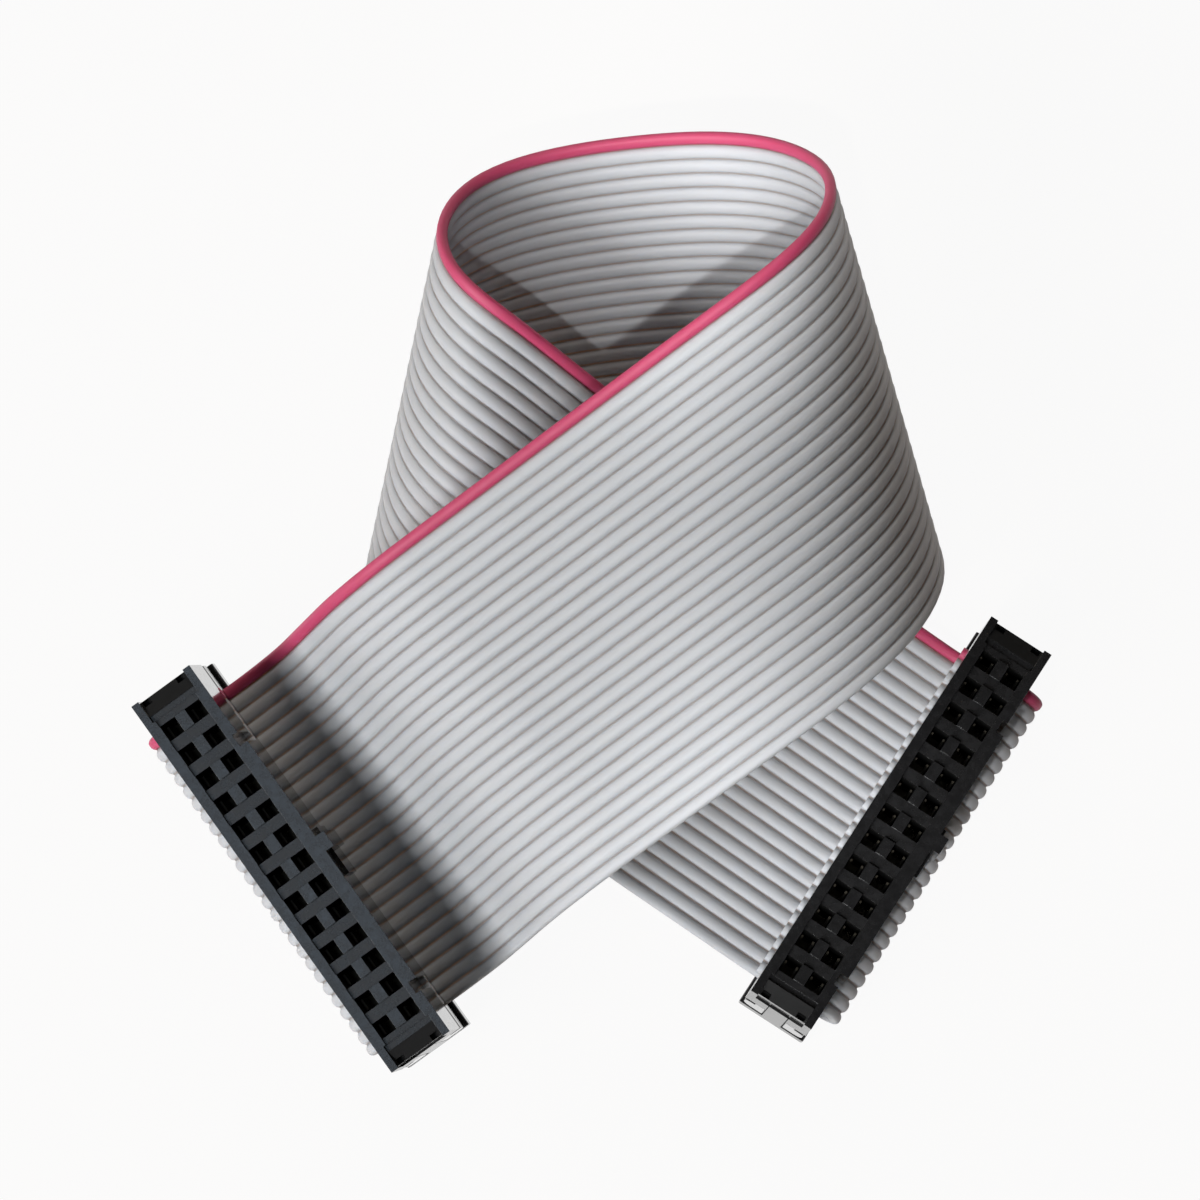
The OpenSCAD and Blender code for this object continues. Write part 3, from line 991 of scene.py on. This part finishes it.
@dataclass
class Studio:
    """The table, the lamps and the camera that looks down on them.

    The aim, the distance and the sensor are in millimetres, and all other lengths in metres.
    """
    aim: tuple[float, float, float] = (-24.92, 19.18, 10.0)
    lean: tuple[float, float] = (0.0526, 0.1158)
    distance: float = 900.0
    pixels_per_mm: float = 11.897
    frame_pixels: float = 1200.0
    sensor: float = 36.0
    clip: tuple[float, float] = (0.01, 20.0)
    lamp_distance: float = 0.75
    softboxes: tuple[Softbox, ...] = (
        Softbox("softbox_left", 215, 38, 0.42, 4.5, (1, 1, 1)),
        Softbox("softbox_front_left", 240, 38, 0.42, 1.2, (0.95, 0.98, 1)),
        Softbox("softbox_back", 100, 40, 0.42, 1.4, (1, 0.91, 0.8)),
        Softbox("lamp_above_left", 206.4, 69.5, 0.11, 0.13, (0.68, 0.83, 1)))
    spots: tuple[Spot, ...] = (
        Spot("spot_right_tail", 230, 63, 3.2, 10.5, (-1.5, 6.0, 3.0)),
        Spot("spot_loop", 252, 72, 3.2, 14.0, (-18.0, 56.0, 17.0)))
    spot_radius: float = 0.01
    spot_blend: float = 1.0
    room: Colour = (0.012, 0.01, 0.008)
    table_size: float = 6.0
    table_level: float = -0.0002
    table_colour: Colour = (0.6, 0.5, 0.44)
    table_roughness: float = 0.7
    table_glow: Colour = (0.99, 0.99, 0.99)
    glow_shares: tuple[tuple[str, float], ...] = (
        ("Is Camera Ray", 0.95), ("Is Glossy Ray", 0.95), ("Is Transmission Ray", 0.9))

    def camera(self) -> bpy.types.Object:
        """Sets the camera up.

        Returns:
            The camera.
        """
        forward = Vector((self.lean[0], self.lean[1], -1.0)).normalized()
        right = (Vector((1, 0, 0)) - forward * forward.x).normalized()
        up = right.cross(forward)
        data = bpy.data.cameras.new("camera")
        data.sensor_width = self.sensor
        data.lens = self.sensor * self.pixels_per_mm * self.distance / self.frame_pixels
        data.clip_start, data.clip_end = self.clip
        camera = bpy.data.objects.new("camera", data)
        bpy.context.scene.collection.objects.link(camera)
        turn = Matrix((right, up, -forward)).transposed().to_4x4()
        eye = (Vector(self.aim) - forward * self.distance) * MM
        camera.matrix_world = Matrix.Translation(eye) @ turn
        bpy.context.scene.camera = camera
        return camera

    def _hang(self, data: bpy.types.Light, azimuth: float, elevation: float,
              target: Vector) -> None:
        """Hangs a light so that it points at the target.

        Args:
            data: The light.
            azimuth: Its direction from the target, in degrees from X.
            elevation: Its height over the target, in degrees.
            target: The place that it points at, in metres.
        """
        around, up = math.radians(azimuth), math.radians(elevation)
        out = Vector((math.cos(around) * math.cos(up), math.sin(around) * math.cos(up),
                      math.sin(up)))
        light = bpy.data.objects.new(data.name, data)
        bpy.context.scene.collection.objects.link(light)
        light.matrix_world = (Matrix.Translation(target + out * self.lamp_distance)
                              @ out.to_track_quat("Z", "Y").to_matrix().to_4x4())

    def lights(self) -> None:
        """Hangs the lights and sets the world."""
        for box in self.softboxes:
            data = bpy.data.lights.new(box.name, "AREA")
            data.shape = "SQUARE"
            data.size = box.size
            data.energy = box.power
            data.color = box.colour
            self._hang(data, box.azimuth, box.elevation, Vector(self.aim) * MM)
        for spot in self.spots:
            data = bpy.data.lights.new(spot.name, "SPOT")
            data.spot_size = math.radians(spot.cone)
            data.spot_blend = self.spot_blend
            data.shadow_soft_size = self.spot_radius
            data.energy = spot.power
            self._hang(data, spot.azimuth, spot.elevation, Vector(spot.target) * MM)
        world = bpy.data.worlds.new("room")
        bpy.context.scene.world = world
        bench = Bench(world)
        seen = bench.node("ShaderNodeLightPath").out("Is Camera Ray")
        sky = bench.node("ShaderNodeBackground", {}, {
            0: bench.mix(seen, self.room, (1.0, 1.0, 1.0))})
        bench.node("ShaderNodeOutputWorld", {}, {0: sky.out(0)})

    def table(self) -> bpy.types.Object:
        """Lays the pale table that the cable lies on.

        Returns:
            The table.
        """
        bpy.ops.object.select_all(action="DESELECT")
        bpy.ops.mesh.primitive_plane_add(
            size=self.table_size, location=(0, 0, self.table_level))
        table = bpy.context.active_object
        table.name = "table"
        bench = Bench(bpy.data.materials.new("table_top"))
        path = bench.node("ShaderNodeLightPath")
        plain = bench.node("ShaderNodeBsdfPrincipled", {}, {
            "Base Color": (*self.table_colour, 1.0), "Roughness": self.table_roughness}).out(0)
        glow = bench.node("ShaderNodeEmission", {}, {
            "Color": (*self.table_glow, 1.0), "Strength": 1.0}).out(0)
        lit = sum(share * path.out(ray) for ray, share in self.glow_shares).clamped()
        table.data.materials.append(bench.output(
            bench.node("ShaderNodeMixShader", {}, {0: lit, 1: plain, 2: glow}).out(0)))
        return table


def main() -> None:
    """Builds the scene, piece by piece."""
    logging.basicConfig(level=logging.INFO, format="%(message)s")
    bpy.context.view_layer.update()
    studio = Studio()
    studio.camera()
    route = Route()
    # The darker web colours of both insulations are painted shade in the valleys between
    # conductors.
    ribbon = Ribbon(
        route,
        InsulationFinish("grey_insulation", colour=(0.57, 0.585, 0.61),
                         valley_shade_colour=(0.5, 0.49, 0.49)),
        InsulationFinish("red_insulation", colour=(0.6, 0.07, 0.17),
                         valley_shade_colour=(0.5, 0.07, 0.13)))
    grey, red = ribbon.build()
    finishes = (
        MouldedFinish().material(),
        # The second finish is darker and duller than the moulding: painted shade for the socket
        # pockets and end recesses.
        MouldedFinish("painted_recess_shade", colour=(0.004, 0.004, 0.004),
                      worn_colour=(0.008, 0.008, 0.008), roughness=0.4,
                      specular=0.2).material(),
        ContactFinish().material())
    right = Connector(Side.RIGHT, route.connector_frame(route.right), *finishes).build()
    left = Connector(Side.LEFT, route.connector_frame(route.left), *finishes).build()
    line = ribbon.centreline()
    length = sum((b - a).length for a, b in zip(line, line[1:]))
    LOG.info("ribbon: %.1f mm along its middle", length / MM)
    studio.lights()
    studio.table()
    bpy.context.scene.view_settings.view_transform = "Standard"
    LOG.info("%d pieces on the right, %d on the left", len(right), len(left))


if __name__ == "__main__":
    main()
